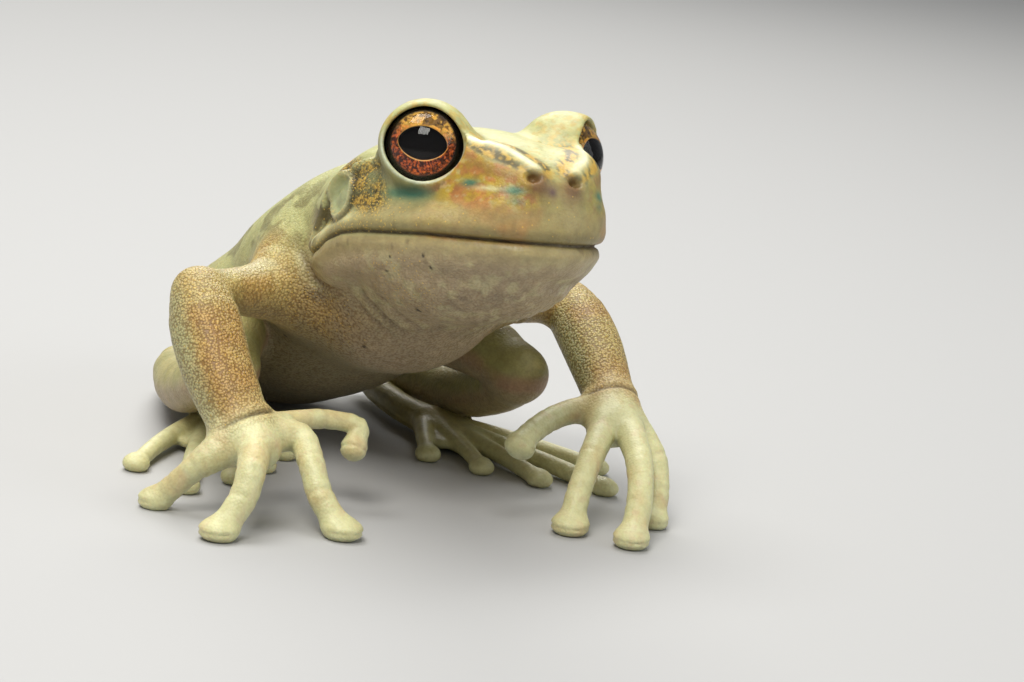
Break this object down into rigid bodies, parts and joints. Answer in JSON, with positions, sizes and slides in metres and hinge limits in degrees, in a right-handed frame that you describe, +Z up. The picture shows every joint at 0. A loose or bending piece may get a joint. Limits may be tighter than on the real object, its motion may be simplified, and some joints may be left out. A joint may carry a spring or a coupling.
{
  "type": "marsupial frog model",
  "caption": "Life-size still model of an Andean marsupial frog, sitting with its head raised on spread toe pads, folded hind legs under the body.",
  "frame": {"origin": "middle of the footprint on the floor, at the bottom centre of the bounding box", "axes": "-Y is the way the trunk faces, +Y the rump, +X the animal's left side, +Z up from the floor"},
  "size_m": [0.044, 0.0528, 0.0325],
  "materials": {
    "back_skin": "satin, moist",
    "head_skin": "satin, moist",
    "throat_skin": "satin, moist",
    "arm_skin": "satin, finely granular",
    "hand_skin": "satin, moist",
    "leg_skin": "satin, moist",
    "ear_drum": "satin",
    "eye": "gloss"
  },
  "bodies": {
    "root": {"trunk": "back_skin", "head": "head_skin", "lower_jaw": "throat_skin", "eye_r": "eye", "eye_l": "eye", "tympanum_r": "ear_drum", "tympanum_l": "ear_drum", "upper_arm_r": "arm_skin", "upper_arm_l": "arm_skin", "forearm_r": "arm_skin", "forearm_l": "arm_skin", "hand_r": "hand_skin", "hand_l": "hand_skin", "finger_r1": "hand_skin", "finger_r2": "hand_skin", "finger_r3": "hand_skin", "finger_r4": "hand_skin", "finger_l1": "hand_skin", "finger_l2": "hand_skin", "finger_l3": "hand_skin", "finger_l4": "hand_skin", "thigh_r": "leg_skin", "thigh_l": "leg_skin", "shank_r": "leg_skin", "shank_l": "leg_skin", "foot_r": "leg_skin", "foot_l": "leg_skin", "toe_r1": "hand_skin", "toe_r2": "hand_skin", "toe_r3": "hand_skin", "toe_r4": "hand_skin", "toe_r5": "hand_skin", "toe_l1": "hand_skin", "toe_l2": "hand_skin", "toe_l3": "hand_skin", "toe_l4": "hand_skin", "toe_l5": "hand_skin"}
  },
  "joints": []
}
